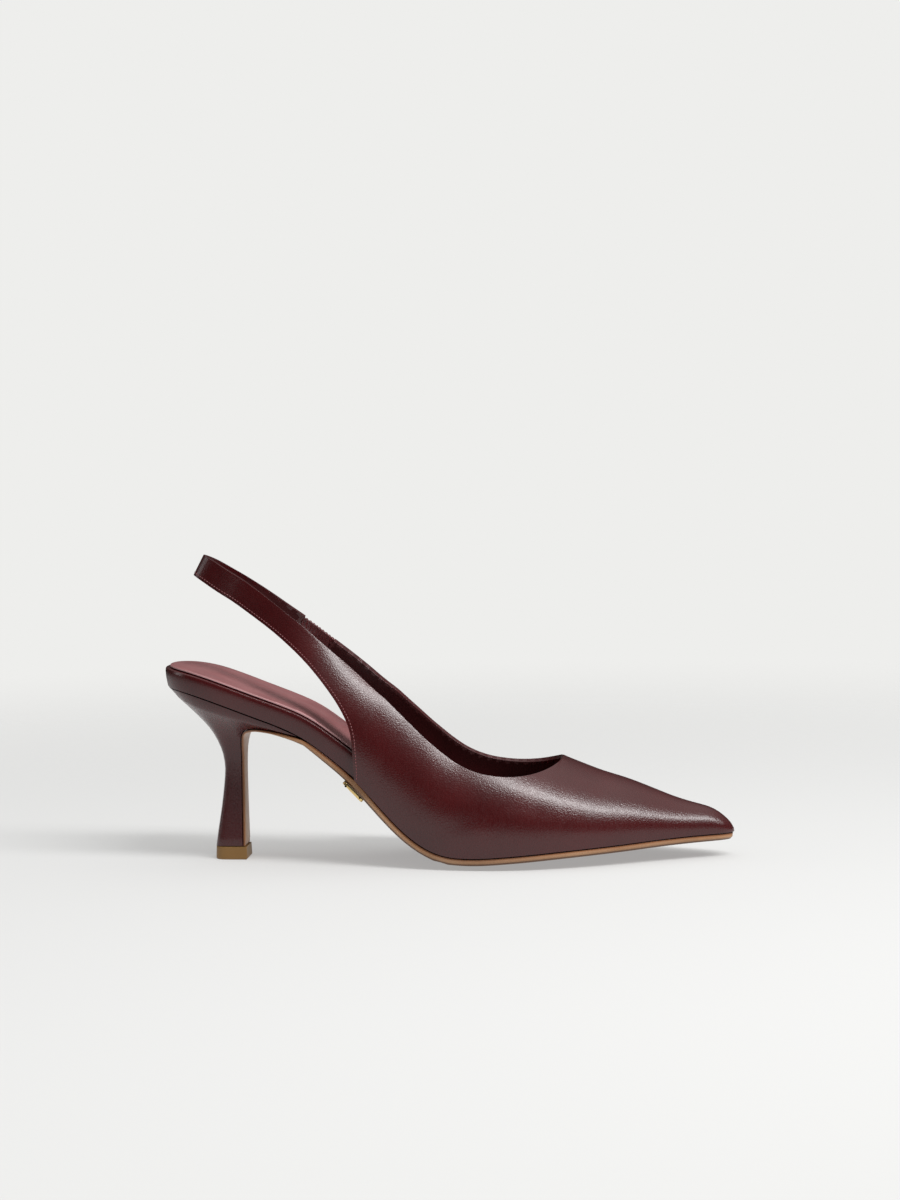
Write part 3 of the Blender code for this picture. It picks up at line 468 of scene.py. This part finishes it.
# Multiplying in the tints paints shadow into the joint under the upper
edge_tones_with_painted_shade = add(tree, "ShaderNodeMix", {"data_type": "RGBA", "blend_type": "MULTIPLY"})
edge_tones_with_painted_shade.inputs["Factor"].default_value = 1.0
tree.links.new(shader.inputs["Base Color"].links[0].from_socket, edge_tones_with_painted_shade.inputs["A"])
tree.links.new(tint, edge_tones_with_painted_shade.inputs["B"])
tree.links.new(edge_tones_with_painted_shade.outputs["Result"], shader.inputs["Base Color"])
sole.data.materials.append(bend)


# Heel. A moulded core covered in the upper's calf, waisted from the side and
# flared to its foot.
HEEL_ROUND = 0.0003
heel, _ = soft_copy("heel", "covered_heel", HEEL_ROUND, levels=0)
heel.data.materials.append(calf)


# Top piece. A hard golden brown rubber block pinned under the heel and
# trimmed flush with its cover.
TOP_PIECE_ROUND = 0.0005
top_piece, _ = soft_copy("top_piece", "rubber_top_piece", TOP_PIECE_ROUND, levels=1)
# Hard filled rubber: an even colour, with a broad dull light where it was trimmed
top_piece.data.materials.append(plain_material("golden_brown_rubber", "#8a6636", roughness=0.45))


# Waist plate. A small plain gold plated bar pinned to the edge of the waist.
PLATE_ROUND = 0.0002
plate, _ = soft_copy("waist_plate", "gold_waist_plate", PLATE_ROUND, levels=1)
# Brushed plating on brass: pale gold with a tight light
plate.data.materials.append(plain_material("gold_plated_brass", "#e6c98a", roughness=0.22, metallic=1.0))

# Two pins hold the bar, one near each end. They show as small dark heads in its edge.
PIN_RADIUS, PIN_FROM_END, PIN_FLATNESS, PIN_SEATED = 0.00048, 0.0016, 0.55, 0.8
pin_shape = Matrix.Diagonal((1.0, PIN_FLATNESS, 1.0, 1.0))
plate_face_y = min(v.co.y for v in plate.data.vertices)
near_side = sorted((v.co for v in plate.data.vertices), key=lambda co: co.y)[: len(plate.data.vertices) // 4]
back_end, front_end = min(near_side, key=lambda co: co.x), max(near_side, key=lambda co: co.x)
shape = bmesh.new()
for end, other in ((back_end, front_end), (front_end, back_end)):
    spot = end + (other - end).normalized() * PIN_FROM_END
    spot = min(near_side, key=lambda co: (co - spot).length).lerp(spot, PIN_SEATED)
    placed = Matrix.Translation((spot.x, plate_face_y, spot.z)) @ pin_shape
    bmesh.ops.create_uvsphere(shape, u_segments=12, v_segments=8, radius=PIN_RADIUS, matrix=placed)
pins = new_piece("plate_pins", shape)
pins.data.shade_smooth()
# Blackened steel: nearly black, with a faint light on the round
pins.data.materials.append(plain_material("blackened_steel_pins", "#2a211c", roughness=0.4, metallic=1.0))
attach(pins, "root")


# Stage. A pale paper floor that fades into the pale background under a bright ceiling, with one
# soft key light from the toe and a weak light at the heel side.
FLOOR_HALF, FADE_FROM, FADE_TO, FLOOR_GLOW = 4.0, 0.20, 0.95, 0.34
BACKGROUND, PAPER = "#eeeeec", "#b0b0af"

shape = bmesh.new()
bmesh.ops.create_grid(shape, x_segments=2, y_segments=2, size=FLOOR_HALF)
floor = new_piece("pale_floor", shape)
paper, tree, shader, place = new_material("matte_pale_paper")
shader.inputs["Base Color"].default_value = linear(PAPER)
shader.inputs["Emission Color"].default_value = linear("#ffffff")
shader.inputs["Emission Strength"].default_value = FLOOR_GLOW
shader.inputs["Roughness"].default_value = 0.9
shader.inputs["Specular IOR Level"].default_value = 0.1
away = add(tree, "ShaderNodeVectorMath", {"operation": "LENGTH"}, {0: place})
fade = add(tree, "ShaderNodeMapRange", {"interpolation_type": "SMOOTHSTEP"}, {
    "Value": away.outputs["Value"], "From Min": FADE_FROM, "From Max": FADE_TO,
})
clear = add(tree, "ShaderNodeBsdfTransparent")
blend = add(tree, "ShaderNodeMixShader", links={
    0: fade.outputs["Result"], 1: shader.outputs["BSDF"], 2: clear.outputs["BSDF"],
})
tree.links.new(blend.outputs["Shader"], tree.nodes["Material Output"].inputs["Surface"])
floor.data.materials.append(paper)

AIM = (0.03, -0.02, 0.03)
SOFTBOXES = (
    # name, place, way of its long side, length, width, watts
    ("toe_side_softbox", (0.78, -0.575, 1.20), (0.86, 0.18, -0.47), 1.30, 0.30, 22.0),
    ("heel_side_softbox", (-1.50, -0.10, 0.55), (0.0, 1.0, 0.0), 0.50, 0.90, 2.2),
)
for name, spot, long_way, length, width, watts in SOFTBOXES:
    lamp = bpy.data.lights.new(name, "AREA")
    lamp.shape, lamp.size, lamp.size_y, lamp.energy = "RECTANGLE", length, width, watts
    lamp_object = bpy.data.objects.new(name, lamp)
    back = (Vector(spot) - Vector(AIM)).normalized()
    side = (Vector(long_way) - back * back.dot(Vector(long_way))).normalized()
    turn = Matrix((side, back.cross(side), back)).transposed().to_4x4()
    lamp_object.matrix_world = Matrix.Translation(spot) @ turn
    bpy.context.scene.collection.objects.link(lamp_object)

# The camera sees a pale background. The room's light comes mostly from its ceiling.
WALL_LIGHT, CEILING_LIGHT, CEILING_WAY, CEILING_EDGE = 0.045, 1.35, (0.10, 0.05, 0.99), 3.0
world = bpy.data.worlds.new("studio")
world.use_nodes = True
tree = world.node_tree
seen = tree.nodes["Background"]
seen.inputs["Color"].default_value = linear(BACKGROUND)
looked = add(tree, "ShaderNodeTexCoord").outputs["Generated"]
way = add(tree, "ShaderNodeVectorMath", {"operation": "DOT_PRODUCT"}, {0: looked, 1: CEILING_WAY})
up = add(tree, "ShaderNodeMath", {"operation": "MAXIMUM"}, {0: way.outputs["Value"], 1: 0.0})
steep = add(tree, "ShaderNodeMath", {"operation": "POWER"}, {0: up.outputs["Value"], 1: CEILING_EDGE})
glow = add(tree, "ShaderNodeMath", {"operation": "MULTIPLY_ADD"}, {
    0: steep.outputs["Value"], 1: CEILING_LIGHT, 2: WALL_LIGHT,
})
room = add(tree, "ShaderNodeBackground", links={
    "Color": linear(BACKGROUND), "Strength": glow.outputs["Value"],
})
ray = add(tree, "ShaderNodeLightPath")
either = add(tree, "ShaderNodeMixShader", links={
    0: ray.outputs["Is Camera Ray"], 1: room.outputs["Background"], 2: seen.outputs["Background"],
})
tree.links.new(either.outputs["Shader"], tree.nodes["World Output"].inputs["Surface"])
bpy.context.scene.world = world
bpy.context.scene.view_settings.view_transform = "Standard"
